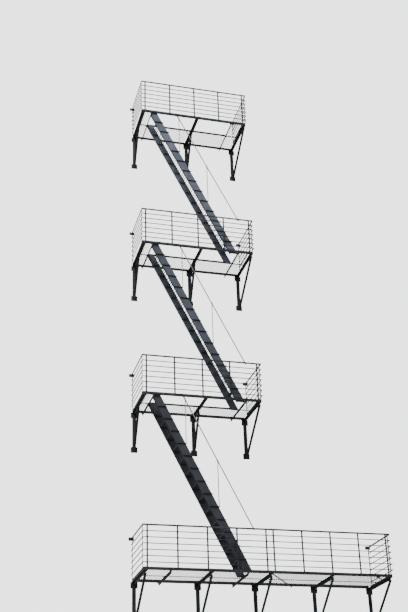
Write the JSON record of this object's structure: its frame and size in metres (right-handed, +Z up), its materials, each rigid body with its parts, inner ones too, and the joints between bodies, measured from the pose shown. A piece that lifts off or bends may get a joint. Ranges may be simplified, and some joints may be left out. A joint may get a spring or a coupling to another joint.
{
  "type": "fire escape stair",
  "caption": "Wall-hung steel fire escape: railed balconies on brackets, one above another, with steep flights between them and a second balcony beside the lowest.",
  "frame": {"origin": "wall face of the lowest left bracket's leg, at half its height", "axes": "+Z up, +Y into the wall, +X to the right along the wall as seen from the street"},
  "size_m": [5.0245, 1.092, 12.006],
  "materials": {
    "frame_paint": "satin",
    "stringer_paint": "satin",
    "floor_paint": "matte",
    "rail_paint": "satin",
    "handrail_zinc": "satin"
  },
  "bodies": {
    "root": {"edge_angles_1": "frame_paint", "inner_beams_1": "frame_paint", "floor_bars_1": "floor_paint", "brackets_1": "frame_paint", "rail_posts_1": "rail_paint", "rail_bars_1": "rail_paint", "edge_angles_2": "frame_paint", "inner_beams_2": "frame_paint", "floor_bars_2": "floor_paint", "brackets_2": "frame_paint", "rail_posts_2": "rail_paint", "rail_bars_2": "rail_paint", "edge_angles_3": "frame_paint", "inner_beams_3": "frame_paint", "floor_bars_3": "floor_paint", "brackets_3": "frame_paint", "rail_posts_3": "rail_paint", "rail_bars_3": "rail_paint", "edge_angles_4": "frame_paint", "inner_beams_4": "frame_paint", "floor_bars_4": "floor_paint", "brackets_4": "frame_paint", "rail_posts_4": "rail_paint", "rail_bars_4": "rail_paint", "edge_angles_annex": "frame_paint", "inner_beams_annex": "frame_paint", "floor_bars_annex": "floor_paint", "brackets_annex": "frame_paint", "rail_posts_annex": "rail_paint", "rail_bars_annex": "rail_paint", "outer_stringer_2": "stringer_paint", "inner_stringer_2": "stringer_paint", "treads_2": "floor_paint", "handrail_2": "handrail_zinc", "outer_stringer_3": "stringer_paint", "inner_stringer_3": "stringer_paint", "treads_3": "floor_paint", "handrail_3": "handrail_zinc", "outer_stringer_4": "stringer_paint", "inner_stringer_4": "stringer_paint", "treads_4": "floor_paint", "handrail_4": "handrail_zinc"}
  },
  "joints": []
}
